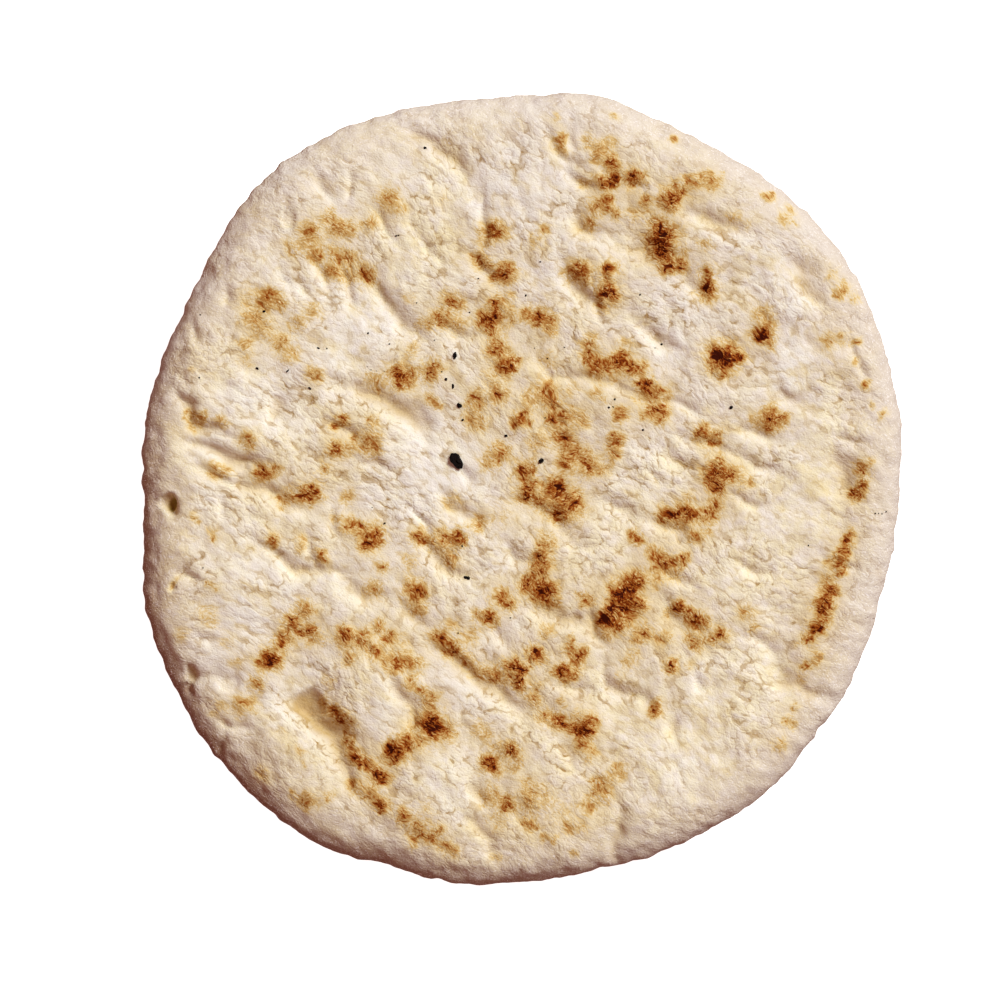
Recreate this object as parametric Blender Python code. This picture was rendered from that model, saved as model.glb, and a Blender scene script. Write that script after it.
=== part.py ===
"""A round pita bread without a pocket: one soft, flat loaf that lies on its baked underside.

Run it with: blender --background --python part.py
Metres, +Z up. The origin is under the middle of the loaf, on the plane it rests on.
"""

import math

import bmesh
import bpy

MM = 0.001

# Driving sizes of the loaf
THICKNESS = 11.5 * MM  # resting plane to the plain top, between blisters
WAIST_HEIGHT = 4.8 * MM  # height at which the rim stands out furthest
SHOULDER = 9.5 * MM  # how far in from the rim the top starts to round down
TUCK = 6.0 * MM  # how far in from the rim the underside lifts off the plane
SQUARENESS = 2.2  # 2 makes the rim's section an ellipse, and more makes it fuller

# Unevenness of hand-stretched dough, as shares of the sizes above
THICKNESS_WAVE = 0.05
WAIST_WAVE = 0.20
SHOULDER_WAVE = 0.22
TUCK_WAVE = 0.40

# Slow waves of the thickness across the loaf, as (wavelength, heading, phase, share)
WAVES_MM = (
    (150, math.radians(53), 3.6, 1.0),
    (124, math.radians(-24), 0.9, 0.6),
)

# Slow waves round the rim, as (lobes, phase, share), with shares that add up to 1
RIM_LOBES = (
    (2, 0.6, 0.5),
    (3, 2.0, 0.3),
    (5, 4.1, 0.2),
)
LIP_HEADING = 0.2  # where the top rounds down over the widest band, as an angle from +X
TUCK_HEADING = 1.3  # how far round the rim the underside's waves are turned from the waist's

# The stretched dough's outline: its radius every ten degrees, anticlockwise from +X
RIM_RADII_MM = (
    94.5, 96.0, 97.0, 98.5, 99.0, 98.5, 97.5, 98.0, 100.0,
    98.0, 98.0, 99.5, 100.5, 100.5, 98.0, 95.5, 95.5, 95.5,
    94.5, 96.0, 99.0, 100.0, 101.5, 102.0, 102.5, 100.0, 100.0,
    98.5, 97.5, 97.5, 97.5, 97.5, 96.0, 95.5, 94.0, 94.0,
)  # fmt: skip

# Places where steam lifted the crust, as (x, y, reach, height) in millimetres
BLISTERS_MM = (
    (2, 74, 15, 0.8),
    (-30, 63, 12, 0.8),
    (-52, 66, 11, 0.8),
    (20, 56, 11, 0.8),
    (45, 61, 12, 0.7),
    (-13, 50, 10, 0.6),
    (-56, 46, 11, 0.9),
    (68, 46, 10, 0.8),
    (-15, 30, 12, 0.7),
    (20, 22, 15, 0.9),
    (-33, 14, 14, 1.4),
    (-63, 11, 12, 1.0),
    (30, 10, 13, 0.6),
    (58, -13, 11, 0.7),
    (16, -18, 12, 0.7),
    (-70, -26, 13, 1.0),
    (-45, -31, 13, 1.0),
    (50, -27, 13, 0.8),
    (10, -40, 12, 0.7),
    (-38, -50, 14, 1.6),
    (56, -53, 13, 0.9),
    (-59, -61, 12, 1.5),
    (34, -68, 11, 1.2),
    (6, -70, 13, 1.2),
    (-23, -74, 16, 1.6),
)

# Places where the crust sank or was docked, written the same way, with a depth in place of a height
HOLLOWS_MM = (
    (27, 64, 9, 0.9),
    (-39, 49, 8, 0.8),
    (79, 42, 11, 1.0),
    (82, 22, 11, 1.1),
    (80, 2, 10, 1.0),
    (13, 31, 8, 0.6),
    (-61, 22, 9, 1.1),
    (-86, 16, 8, 1.2),
    (-17, 13, 8, 1.0),
    (-35, -3, 10, 0.7),
    (-5, -2, 11, 0.6),
    (-90, -4, 5, 1.8),
    (-5, -18, 11, 0.6),
    (65, -42, 9, 0.9),
    (-53, -49, 9, 1.4),
    (25, -52, 9, 1.0),
    (-46, -66, 8, 1.2),
    (23, -88, 7, 1.2),
)

# Mesh density
CELLS = 44  # squares across the top, each about 4.5 mm
UPPER_RINGS = 5  # from the shoulder down to the waist
LOWER_RINGS = 4  # from the waist under to the resting face

CRUST_COLOUR = (0.80, 0.68, 0.52, 1.0)
CRUST_ROUGHNESS = 0.85


def clear_scene():
    for old in list(bpy.data.objects):
        bpy.data.objects.remove(old, do_unlink=True)


def rim_radius(angle):
    """The outline's radius at an angle, on a smooth closed curve through RIM_RADII_MM."""
    count = len(RIM_RADII_MM)
    place = (angle / math.tau) % 1.0 * count
    start = int(place) % count
    t = place - int(place)
    before, here, after, beyond = (RIM_RADII_MM[(start + k) % count] for k in (-1, 0, 1, 2))
    slope = 0.5 * (after - before)
    bend = before - 2.5 * here + 2.0 * after - 0.5 * beyond
    twist = 0.5 * (beyond - before) + 1.5 * (here - after)
    return (here + t * (slope + t * (bend + t * twist))) * MM


def swelling(x, y, spots):
    """The sum of the round swellings in a list at one place, each a smooth bell."""
    total = 0.0
    for spot_x, spot_y, reach, height in spots:
        share = math.hypot(x - spot_x * MM, y - spot_y * MM) / (reach * MM)
        if share < 1.0:
            total += height * MM * (1.0 - share * share) ** 2
    return total


def thickness_wave(x, y):
    """A slow unevenness across the loaf, from about -1 to 1."""
    total = 0.0
    for length, heading, phase, share in WAVES_MM:
        along = x * math.cos(heading) + y * math.sin(heading)
        total += share * math.sin(math.tau * along / (length * MM) + phase)
    return total


def rim_wave(angle):
    """A slow unevenness round the rim, from about -1 to 1."""
    return sum(share * math.sin(lobes * angle + phase) for lobes, phase, share in RIM_LOBES)


def top_height(x, y):
    plain = THICKNESS * (1.0 + THICKNESS_WAVE * thickness_wave(x, y))
    return plain + swelling(x, y, BLISTERS_MM) - swelling(x, y, HOLLOWS_MM)


def shoulder_width(angle):
    """The top rounds down over a wider band on the +X side, where the rim is a flat lip."""
    return SHOULDER * (1.0 + SHOULDER_WAVE * math.cos(angle - LIP_HEADING))


def waist_height(angle):
    return WAIST_HEIGHT * (1.0 + WAIST_WAVE * rim_wave(angle))


def tuck_width(angle):
    return TUCK * (1.0 + TUCK_WAVE * rim_wave(angle + TUCK_HEADING))


def square_to_disc(a, b):
    """(share of the radius, angle) for a point of the square from -1 to 1, with even cells."""
    if a == 0.0 and b == 0.0:
        return 0.0, 0.0
    if abs(a) > abs(b):
        share, angle = a, math.pi / 4 * b / a
    else:
        share, angle = b, math.pi / 2 - math.pi / 4 * a / b
    return (share, angle) if share > 0 else (-share, angle + math.pi)


def rounded(turn):
    """(outward share, upward share) of the rim's section, from 0 at the waist to a quarter turn."""
    power = 2.0 / SQUARENESS
    return math.cos(turn) ** power, math.sin(turn) ** power


def upper_point(angle, turn):
    out, up = rounded(turn)
    waist = waist_height(angle)
    radius = rim_radius(angle) - shoulder_width(angle) * (1.0 - out)
    x, y = radius * math.cos(angle), radius * math.sin(angle)
    return x, y, waist + (top_height(x, y) - waist) * up


def lower_point(angle, turn):
    out, down = rounded(turn)
    radius = rim_radius(angle) - tuck_width(angle) * (1.0 - out)
    return radius * math.cos(angle), radius * math.sin(angle), waist_height(angle) * (1.0 - down)


def shape_top(bm):
    """The top as an even grid, out to the shoulder.

    Returns its border edges, and the angle of each border point.
    """
    bmesh.ops.create_grid(bm, x_segments=CELLS, y_segments=CELLS, size=1.0)
    angles = {}
    for vert in bm.verts:
        share, angle = square_to_disc(vert.co.x, vert.co.y)
        radius = share * (rim_radius(angle) - shoulder_width(angle))
        x, y = radius * math.cos(angle), radius * math.sin(angle)
        vert.co = (x, y, top_height(x, y))
        if vert.is_boundary:
            angles[vert] = angle
    return [edge for edge in bm.edges if edge.is_boundary], angles


def add_ring(bm, edges, angles, point_at):
    """Extrudes the open border by one ring, whose places come from point_at."""
    made = bmesh.ops.extrude_edge_only(bm, edges=edges)["geom"]
    new_edges = [part for part in made if isinstance(part, bmesh.types.BMEdge) and part.is_boundary]
    new_verts = {vert for edge in new_edges for vert in edge.verts}
    new_angles = {}
    for vert in new_verts:
        neighbours = [edge.other_vert(vert) for edge in vert.link_edges]
        source = next(other for other in neighbours if other in angles)
        new_angles[vert] = angles[source]
    for vert, angle in new_angles.items():
        vert.co = point_at(angle)
    return new_edges, new_angles


def shape_rim(bm, edges, angles):
    """The rim, from the shoulder round the waist to the resting face, which one flat face closes."""
    quarter = math.pi / 2
    for ring in range(1, UPPER_RINGS + 1):
        turn = quarter * (1.0 - ring / UPPER_RINGS)
        edges, angles = add_ring(bm, edges, angles, lambda angle, at=turn: upper_point(angle, at))
    for ring in range(1, LOWER_RINGS + 1):
        turn = quarter * ring / LOWER_RINGS
        edges, angles = add_ring(bm, edges, angles, lambda angle, at=turn: lower_point(angle, at))
    bmesh.ops.contextual_create(bm, geom=edges)


def centre_on_origin(bm):
    """Moves the loaf so that its box is centred over the origin and its resting face is at zero."""
    xs = [vert.co.x for vert in bm.verts]
    ys = [vert.co.y for vert in bm.verts]
    middle = (-(min(xs) + max(xs)) / 2, -(min(ys) + max(ys)) / 2, 0.0)
    bmesh.ops.translate(bm, verts=bm.verts, vec=middle)


def crust_material():
    material = bpy.data.materials.new("crust")
    material.use_nodes = True
    shader = material.node_tree.nodes["Principled BSDF"]
    shader.inputs["Base Color"].default_value = CRUST_COLOUR
    shader.inputs["Roughness"].default_value = CRUST_ROUGHNESS
    shader.inputs["Metallic"].default_value = 0.0
    return material


def make_bread():
    bm = bmesh.new()
    edges, angles = shape_top(bm)
    shape_rim(bm, edges, angles)
    centre_on_origin(bm)
    bmesh.ops.recalc_face_normals(bm, faces=bm.faces)
    mesh = bpy.data.meshes.new("bread")
    bm.to_mesh(mesh)
    bm.free()
    mesh.shade_smooth()
    mesh.materials.append(crust_material())
    bread = bpy.data.objects.new("bread", mesh)
    bpy.context.scene.collection.objects.link(bread)


clear_scene()
make_bread()
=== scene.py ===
"""The looks of a round pita bread: its crinkled, scorched crust, the burnt crumbs on it and its flour.

Lengths in the lists are millimetres in the loaf's own frame, +X right and +Y away, seen from above.
"""
import math

import bmesh
import bpy
import numpy as np
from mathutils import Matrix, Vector, noise
from mathutils.bvhtree import BVHTree


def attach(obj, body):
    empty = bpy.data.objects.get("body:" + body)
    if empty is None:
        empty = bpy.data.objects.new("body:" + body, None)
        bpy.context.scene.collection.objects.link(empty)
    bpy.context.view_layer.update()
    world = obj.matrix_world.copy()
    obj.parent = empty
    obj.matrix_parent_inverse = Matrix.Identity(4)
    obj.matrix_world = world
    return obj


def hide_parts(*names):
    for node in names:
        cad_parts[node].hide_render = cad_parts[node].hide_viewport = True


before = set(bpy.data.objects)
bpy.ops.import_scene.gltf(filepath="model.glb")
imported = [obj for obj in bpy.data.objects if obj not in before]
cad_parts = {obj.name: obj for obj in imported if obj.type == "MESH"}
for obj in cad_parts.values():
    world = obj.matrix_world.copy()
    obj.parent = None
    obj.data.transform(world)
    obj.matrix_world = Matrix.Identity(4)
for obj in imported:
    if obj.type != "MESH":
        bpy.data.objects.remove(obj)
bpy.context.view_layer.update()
MM = 0.001
IN_MILLIMETRES = (1000, 1000, 1000)  # turns places in metres into millimetres

# ---------------------------------------------------------------- what the oven left on the top

# Scorch marks as (x, y, reach, depth of browning from 0 to 1)
SCORCHES = {
    "upper_left": (
        (-52.5, 64, 3.2, 0.45), (-53, 60.5, 4, 0.3), (-48, 67.5, 3, 0.28), (-46, 65, 2.6, 0.55),
        (-42.8, 64.4, 2.2, 0.45), (-38, 66, 2.6, 0.42), (-33.5, 72, 3.4, 0.42),
        (-31, 69.5, 3, 0.28), (-57.5, 59.5, 2.6, 0.32), (-51.5, 58.3, 2.4, 0.5),
        (-46.5, 58.5, 2.4, 0.45), (-43, 57, 2.6, 0.48), (-47, 54, 2.6, 0.55),
        (-43.5, 52.5, 2.2, 0.4), (-39, 53, 2.6, 0.6), (-63, 46.8, 3.4, 0.46),
        (-60.5, 45.5, 2.4, 0.4), (-68, 46.5, 5, 0.2), (-67, 42, 3.6, 0.38), (-68.5, 36, 2.2, 0.42),
        (-64, 39, 3.4, 0.28), (-60, 36.3, 2.8, 0.38), (-58, 33.6, 3, 0.3), (-55.5, 41, 2.8, 0.32),
        (-52, 44, 3, 0.28), (-68.5, 32, 2.5, 0.22), (-51.5, 28.3, 2.6, 0.45),
        (-82, 29.5, 1.5, 0.25),
    ),
    "upper_middle": (
        (-20, 72, 2.5, 0.2), (-7.5, 63.5, 2.8, 0.62), (-4.2, 64, 1.8, 0.5), (-11, 57.3, 2.4, 0.45),
        (-9.4, 55.8, 2, 0.52), (-6, 53.5, 2.4, 0.6), (-3.9, 53.5, 2.4, 0.74), (5.5, 64.5, 2, 0.34),
        (3, 61.2, 3, 0.22), (-17.7, 47, 2.4, 0.6), (-15.2, 45.7, 2, 0.48), (-20, 42.2, 2.6, 0.62),
        (-23.5, 41, 2.5, 0.42), (-16.5, 41, 2.6, 0.36), (-28, 47.5, 2.5, 0.18),
        (-6.4, 46, 2.2, 0.66), (-7, 43.8, 2, 0.45), (-8, 41.7, 3, 0.8), (-7.4, 39.3, 2.4, 0.48),
        (-3, 43, 2.6, 0.34), (1.3, 43.3, 2.2, 0.48), (4.2, 42.4, 2.4, 0.62), (6.8, 41.4, 2.4, 0.55),
        (-2.5, 48, 2, 0.28), (6.5, 39, 2, 0.32), (-6.3, 34.3, 3.2, 0.55), (-7, 36, 2.4, 0.35),
        (-4.3, 30.5, 2.8, 0.66), (-2.3, 30.8, 2, 0.6), (-5, 28.8, 1.8, 0.5), (-31, 28.1, 2.6, 0.72),
        (-29, 27.6, 2.8, 0.8), (-22.8, 29.2, 2.8, 0.62), (-21.8, 28.2, 1.8, 0.4),
        (-27.5, 34.2, 2.4, 0.28), (-37, 26.8, 3, 0.3), (-35.3, 24.6, 2.2, 0.32),
        (-23, 22.3, 1.6, 0.38), (-21.6, 20.8, 1.4, 0.4), (-11.5, 22, 2.6, 0.5),
        (-6, 23.3, 3.2, 0.5), (-8.5, 28, 3, 0.22), (-11.3, 16.5, 3.2, 0.34), (-14, 16.5, 2, 0.24),
        (-12, 18.5, 3, 0.2),
    ),
    "upper_right": (
        (9.5, 86, 2.2, 0.42), (9.5, 84.5, 2.2, 0.3), (23, 92.3, 1, 0.38), (38, 87.2, 1.1, 0.32),
        (8.5, 92.3, 1.6, 0.2), (18.8, 83.5, 3, 0.42), (22, 81, 2.3, 0.58), (22.5, 79, 2, 0.42),
        (22.2, 76.5, 1.9, 0.8), (20.3, 75.6, 1.6, 0.68), (18.6, 76.5, 1.8, 0.42),
        (15.8, 75.6, 1.8, 0.36), (28, 77, 2.6, 0.7), (25.8, 77.5, 1.8, 0.46),
        (15.8, 86.5, 1.8, 0.34), (22.5, 85.5, 2.4, 0.28), (36.2, 72.4, 2.6, 0.6),
        (37.6, 71.8, 2.2, 0.62), (39, 73.8, 2.4, 0.52), (36.8, 70.4, 2, 0.48), (34, 71, 2, 0.38),
        (41.5, 76.4, 2.4, 0.42), (44.5, 76.2, 2.2, 0.34), (47, 76, 2.4, 0.42),
        (49.3, 77.6, 1.4, 0.3), (61, 72.6, 1.5, 0.5), (20.8, 71.3, 2.2, 0.6),
        (18.4, 70.2, 2.2, 0.48), (21.3, 69.6, 1.8, 0.55), (23.2, 68.3, 2.2, 0.34),
        (30.2, 70.4, 2.2, 0.42), (28, 67.5, 3, 0.24), (16.5, 65.2, 3, 0.38),
        (33.5, 65.5, 2.6, 0.52), (34, 62.2, 2.8, 0.88), (34.4, 59.6, 2.7, 0.98),
        (37.4, 63.5, 2.8, 0.48), (31.2, 62.5, 2, 0.34), (35.6, 57, 2.2, 0.58),
        (36.6, 55.4, 2.2, 0.64), (39.8, 55.3, 2, 0.6), (35, 54.5, 2, 0.42), (39.5, 58.5, 3.2, 0.22),
        (46.2, 53.4, 2.3, 0.62), (46.4, 51.2, 2, 0.36), (46, 49.2, 2.3, 0.76),
        (47, 47.4, 2.2, 0.36), (46, 60.2, 2.2, 0.32), (14.7, 53.5, 2.8, 0.72),
        (12.6, 53.8, 2.2, 0.52), (21.4, 54, 2.6, 0.6), (21.6, 51, 2.2, 0.36), (21, 48.3, 2.7, 0.76),
        (22.8, 48.2, 2, 0.5), (19.6, 45, 2, 0.38), (52.5, 66.8, 2.6, 0.22), (66, 67.5, 3, 0.24),
        (56, 65.5, 2, 0.2),
    ),
    "right_middle": (
        (59.7, 38.3, 2.8, 0.66), (58.7, 38.2, 1.6, 0.7), (60.8, 36.4, 2.4, 0.42),
        (59.5, 43, 3.4, 0.32), (49.5, 32.4, 3.4, 0.97), (52, 32.3, 2.6, 0.85), (54.2, 32, 1.8, 0.6),
        (48, 33.5, 2.6, 0.6), (49.9, 29.2, 2.2, 0.6), (17, 36, 2.8, 0.38), (16.4, 33, 2.2, 0.56),
        (18, 31, 2.6, 0.7), (18.8, 28.8, 2.2, 0.55), (20.6, 30.8, 2.2, 0.66), (23, 31.5, 2.4, 0.62),
        (24.6, 31.8, 2.4, 0.74), (27, 30.4, 2.4, 0.68), (29.2, 29.4, 2.2, 0.5), (23, 29, 2.6, 0.36),
        (25, 36, 2.5, 0.2), (29.2, 25.5, 2.4, 0.52), (31.3, 25.2, 1.8, 0.8), (33.4, 24, 1.7, 0.58),
        (36.2, 23.3, 1.9, 0.36), (31, 22.6, 2.2, 0.48), (32.5, 19.5, 2.6, 0.62),
        (34.6, 19.2, 2.4, 0.58), (31, 18, 2, 0.4), (33.8, 17, 2, 0.36), (18.5, 23.5, 2.4, 0.32),
        (24.3, 18.3, 2.5, 0.5), (61.5, 17.5, 3, 0.64), (64.6, 17.6, 2, 0.54), (61.8, 15.6, 2, 0.42),
        (57.5, 16.5, 2.5, 0.2), (44.8, 13.6, 2.2, 0.56), (48.2, 12.8, 2.2, 0.58),
        (46.4, 12, 2.2, 0.36), (23, 11.8, 2.4, 0.54), (22.8, 9, 2.2, 0.46), (22.5, 6.8, 1.6, 0.3),
        (48.5, 5.4, 2.6, 0.66), (47.2, 3.2, 2.4, 0.74), (49.4, 3.6, 2, 0.6), (51.6, 3.2, 2.6, 0.6),
        (48.5, 0.3, 2.2, 0.76), (46.4, 0.5, 1.8, 0.5), (49.3, -1.6, 2, 0.44), (56, 1.5, 3, 0.26),
        (37.6, -6.4, 2.6, 0.7), (34.5, -7, 2.8, 0.36), (41.6, -6.4, 2.6, 0.78),
        (38.5, -8.6, 2.6, 0.38), (46.5, -6.8, 2.6, 0.5), (48, -4.4, 2.2, 0.48), (41, -3, 2.2, 0.28),
    ),
    "centre": (
        (7.3, 22, 2.6, 0.62), (6, 24.2, 3.4, 0.42), (2, 22, 3, 0.4), (12.3, 24, 2.2, 0.28),
        (6, 31.8, 3, 0.25), (0, 17.3, 2.4, 0.66), (-1.6, 16.4, 1.8, 0.38), (7.6, 17, 1.9, 0.84),
        (9.8, 18.3, 2.2, 0.58), (12.5, 18.4, 2.6, 0.4), (15, 17, 2.6, 0.34), (9.8, 13.4, 2.8, 0.6),
        (11.5, 11.5, 2.6, 0.48), (4, 11.8, 3, 0.32), (12.3, 8, 3.4, 0.55), (15.5, 7.5, 2.6, 0.42),
        (11, 5.8, 2.4, 0.5), (16.5, 5.3, 3.2, 0.5), (19.5, 4.8, 2.2, 0.4), (-5.6, 8.6, 2.8, 0.54),
        (-8.5, 6, 2.8, 0.34), (1.1, 4.4, 3, 0.66), (1.2, -1, 2.2, 0.9), (-0.5, -1.3, 1.6, 0.42),
        (4.3, -3.3, 2, 0.6), (2.8, 0.2, 1.4, 0.5), (8.3, 0, 2.8, 0.78), (10.5, -1.6, 2.6, 0.5),
        (12.3, -3.6, 3.4, 0.62), (8.5, -4.6, 3.6, 0.55), (10.3, -6.4, 3, 0.56), (7, -2, 2.6, 0.4),
        (14, -6, 3, 0.25), (-17.5, -3.5, 3.2, 0.22), (-10.5, -8.8, 2.6, 0.36), (-5, -7, 5, 0.15),
    ),
    "left_middle": (
        (-82.3, 18.3, 1.9, 0.42), (-79.3, 17.4, 1.6, 0.4), (-75, 16.4, 1.8, 0.42),
        (-81, 16, 2.4, 0.26), (-68.3, 11.6, 2.8, 0.42), (-44.6, 17, 1.8, 0.64),
        (-46.2, 15.6, 1.8, 0.45), (-37.5, 16.3, 2.2, 0.34), (-38.3, 11.6, 3, 0.5),
        (-41.8, 12.2, 1.8, 0.34), (-36.5, 9.6, 2.6, 0.3), (-42.5, 10, 2.2, 0.28),
        (-46, 9.5, 2.2, 0.78), (-48, 9.2, 1.6, 0.36), (-76.5, 4.1, 2.4, 0.38),
        (-73.6, 4.3, 1.8, 0.46), (-65.2, 3.7, 2.2, 0.76), (-63, 3.1, 1.5, 0.52),
        (-61.2, 4.4, 2, 0.38), (-49, 4.3, 1.9, 0.44), (-51.6, -0.7, 2.3, 0.78),
        (-54.5, -1.7, 2.2, 0.6), (-57.5, -2, 2.4, 0.46), (-59.5, -3.3, 2, 0.34),
        (-53, -2.8, 2, 0.46), (-43.3, -2.2, 2.4, 0.3), (-81.5, -7.5, 2, 0.3),
        (-76.3, -12.2, 1.6, 0.34), (-77.5, -11, 2.5, 0.18), (-61.7, -13.3, 1.8, 0.66),
        (-54.8, -13.9, 2.4, 0.32), (-49.8, -16.6, 2.2, 0.42), (-46, -7.5, 2.2, 0.26),
        (-43, -9, 2.4, 0.42), (-40.5, -10.2, 2.4, 0.58), (-36.8, -11.2, 2.4, 0.62),
        (-37.8, -13.2, 2.6, 0.76), (-35.5, -13, 1.8, 0.5), (-34.8, -19.3, 1.8, 0.42),
        (-37, -25, 2.8, 0.4), (-78, -24, 1.2, 0.46), (-76, -24.8, 0.9, 0.34),
        (-86.8, -23.7, 1.1, 0.4),
    ),
    "lower_left": (
        (-54, -29.8, 3, 0.38), (-54.5, -31.5, 2.4, 0.36), (-57.2, -33.5, 2, 0.74),
        (-53, -35.8, 2.2, 0.76), (-55.5, -35.2, 1.8, 0.4), (-59.3, -36.5, 1.8, 0.42),
        (-60.3, -38.8, 1.8, 0.78), (-57.3, -37.8, 2, 0.36), (-50, -37.5, 2.2, 0.28),
        (-62.6, -42.6, 2.6, 0.98), (-64.2, -43, 1.8, 0.5), (-66, -48.3, 1.9, 0.52),
        (-70, -54, 3, 0.34), (-67.5, -53.4, 2.4, 0.28), (-75.5, -55, 3, 0.22),
        (-78.8, -30.8, 3, 0.22), (-77, -33, 2.4, 0.22), (-84.5, -36.5, 2.6, 0.22),
        (-73.5, -38, 3, 0.18), (-71, -42.6, 2.2, 0.22), (-43.3, -36.8, 2.6, 0.66),
        (-39.4, -38, 2.4, 0.56), (-36.9, -40.3, 2, 0.62), (-45.5, -37, 2, 0.36),
        (-42.8, -42.5, 2.2, 0.52), (-35.5, -34.5, 2.2, 0.42), (-32.5, -37.3, 2.2, 0.5),
        (-29, -38.8, 2.2, 0.24), (-32.8, -42.3, 2.2, 0.5), (-31, -43.6, 2.4, 0.74),
        (-27.6, -43.2, 2.2, 0.56), (-25, -43.8, 2, 0.3), (-48, -48, 2.2, 0.22),
        (-47.2, -55.2, 2.2, 0.74), (-45.4, -57.2, 2, 0.68), (-43.6, -58.6, 2.2, 0.44),
        (-49.5, -53.5, 1.8, 0.36), (-43.5, -61, 2, 0.36), (-43.3, -63.5, 1.8, 0.56),
        (-41.8, -66.4, 2, 0.88), (-39.8, -68, 1.8, 0.74), (-37.8, -69.6, 1.6, 0.5),
        (-35.3, -71.4, 2.2, 0.9), (-36.6, -72.6, 2.4, 0.35), (-41.5, -73.5, 2.6, 0.36),
        (-38.5, -75.5, 2.6, 0.34), (-34.6, -78.8, 2, 0.7), (-36.6, -77, 2.4, 0.42),
        (-38.5, -77, 1.8, 0.42), (-31.5, -65.6, 2.8, 0.92), (-33, -64.5, 2, 0.5),
        (-28, -63, 2.8, 0.74), (-24.5, -63, 2, 0.36), (-22.6, -58.6, 3.2, 0.98),
        (-20.6, -59.6, 2.4, 0.86), (-23.8, -56.2, 2, 0.45), (-18.6, -61, 2.2, 0.42),
        (-57.5, -76, 1.6, 0.36), (-53.5, -77.8, 2.8, 0.48), (-48.2, -76.8, 1.8, 0.36),
        (-64.8, -71.5, 3, 0.28), (-55.5, -65, 1.5, 0.24), (-54, -68.8, 1, 0.32),
        (-60, -60.3, 2.5, 0.14), (-29.2, -81.3, 2.2, 0.62), (-26, -84.6, 2.8, 0.48),
        (-22.4, -87.5, 1.9, 0.72), (-24.5, -86.8, 2.4, 0.34), (-20.8, -85, 2, 0.4),
        (-26.8, -87.8, 2.4, 0.36), (-19, -89.2, 1.8, 0.58), (-17, -90.2, 2, 0.5),
        (-24, -79.5, 3, 0.18), (-6.5, -91.8, 1.8, 0.3),
    ),
    "lower_middle": (
        (-27, -25.2, 2.8, 0.56), (-25, -25.4, 2, 0.5), (-26.8, -27.8, 2.4, 0.46),
        (-25.8, -30.4, 2.2, 0.36), (-25.6, -12.4, 2.4, 0.62), (-22.8, -13.2, 2.2, 0.46),
        (-20.5, -14.8, 2.2, 0.36), (-16.3, -12.8, 2.6, 0.68), (-18.6, -13, 2, 0.48),
        (-20, -11.5, 2.4, 0.32), (-17.5, -18, 2.6, 0.4), (-28, -18.5, 3, 0.2),
        (-5.2, -27.3, 2.2, 0.72), (-3.4, -28.6, 1.8, 0.56), (-8.6, -32.2, 2, 0.68),
        (-10.8, -31.6, 1.8, 0.36), (-6.5, -33.5, 1.8, 0.36), (5.2, -14.2, 2, 0.6),
        (5, -12.5, 2.4, 0.32), (8, -14, 2, 0.28), (4.6, -17.6, 2.6, 0.58), (6, -19, 2.2, 0.58),
        (4.5, -21, 2.2, 0.58), (3.2, -18.2, 2, 0.5), (1.3, -23.8, 2.2, 0.78),
        (4.6, -25.5, 2.8, 0.95), (7.5, -25.2, 2.4, 0.5), (8, -28.2, 2.4, 0.34),
        (5.5, -28, 2.2, 0.36), (15.8, -27.4, 2.2, 0.42), (17.5, -28.2, 1.5, 0.36),
        (-19.6, -37.6, 2.6, 0.66), (-21.8, -36.8, 1.8, 0.46), (-16.8, -40.3, 2.2, 0.68),
        (-14, -42.6, 2.4, 0.44), (-12, -44.8, 2.2, 0.36), (-10.5, -45.8, 2, 0.34),
        (-8.5, -46.4, 2.4, 0.44), (-6.8, -46.8, 1.4, 0.58), (-13, -36.5, 3.4, 0.26),
        (-17.5, -34, 2.4, 0.24), (-3.6, -43.8, 2, 0.5), (-1.8, -44, 1.8, 0.7),
        (-0.6, -46, 2.2, 0.82), (-1, -48.4, 2, 0.74), (-3.8, -46.8, 2.2, 0.44),
        (0.8, -44.8, 1.8, 0.42), (2.8, -40.8, 2, 0.74), (4.6, -42.2, 2.2, 0.46),
        (5.8, -35.8, 2.4, 0.32), (12.2, -39.6, 2.2, 0.58), (13.8, -42.2, 2.2, 0.7),
        (15, -41.5, 1.8, 0.4), (12.5, -37.8, 1.6, 0.34), (10.2, -45.6, 2.4, 0.7),
        (12.4, -46.4, 2.2, 0.56), (8.8, -44.4, 1.6, 0.42), (2.5, -52.6, 2.6, 0.42),
        (3.5, -49, 2, 0.3), (10.2, -53, 1.6, 0.3), (-27.5, -48.5, 2.6, 0.34),
        (-25, -50.2, 2.2, 0.48), (-23.2, -52.5, 2.2, 0.48), (5.5, -56.8, 2.2, 0.44),
        (8.3, -57.8, 2.2, 0.6), (10.4, -58.5, 1.9, 0.76), (13, -60, 2, 0.55),
        (15.3, -60.4, 2.4, 0.88), (16.8, -58.2, 2.6, 0.6), (15.6, -63.4, 2.2, 0.52),
        (16.8, -66, 2.4, 0.34), (14, -57, 2.6, 0.35), (-11, -60, 3.4, 0.24),
        (-8.5, -61.5, 2.6, 0.24), (-2.2, -65.2, 2.2, 0.74), (-2, -65.2, 3.4, 0.24),
        (-7.8, -68.3, 2.4, 0.88), (-6, -70.8, 1.8, 0.42), (-2, -69.5, 2, 0.34),
        (-5.8, -64.5, 2.2, 0.24), (-3.5, -79, 2.4, 0.6), (-3.4, -77.6, 1.8, 0.48),
        (-7.5, -76.5, 3.4, 0.34), (2, -77.8, 3.6, 0.36), (2, -74, 3.4, 0.28),
        (1.5, -83.2, 1.9, 0.52), (3.9, -83.9, 0.9, 0.5), (-6, -83, 4, 0.22),
        (5.6, -86.8, 1.3, 0.44), (7.6, -87.6, 1.3, 0.44), (11.3, -83.8, 2.4, 0.34),
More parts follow.
